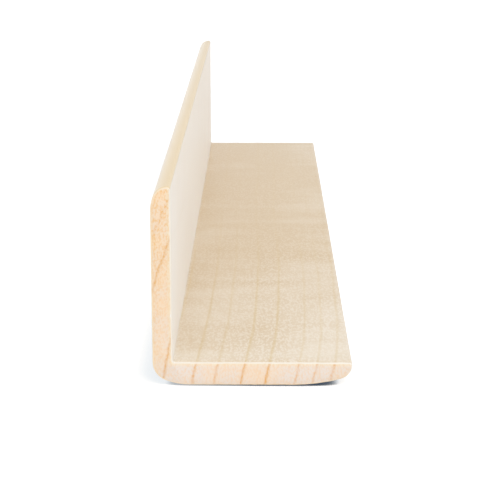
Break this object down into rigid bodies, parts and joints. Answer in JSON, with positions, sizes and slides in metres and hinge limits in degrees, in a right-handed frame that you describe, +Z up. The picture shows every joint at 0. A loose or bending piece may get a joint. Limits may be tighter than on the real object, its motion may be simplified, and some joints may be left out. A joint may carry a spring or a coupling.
{
  "type": "corner guard moulding",
  "caption": "Straight wooden L-section moulding with rounded outer corner and thinned tips, glued over a wall's outside corner to protect and trim it.",
  "frame": {"origin": "middle of the length and of the width, at the level of the underside", "axes": "+X across the lower leg from the outer corner to its tip, +Y along the grain, +Z up the upright leg"},
  "size_m": [0.04, 0.235, 0.0406],
  "materials": {
    "pale_timber": "planed and sanded, unfinished"
  },
  "bodies": {
    "root": {"corner_guard": "pale_timber"}
  },
  "joints": []
}
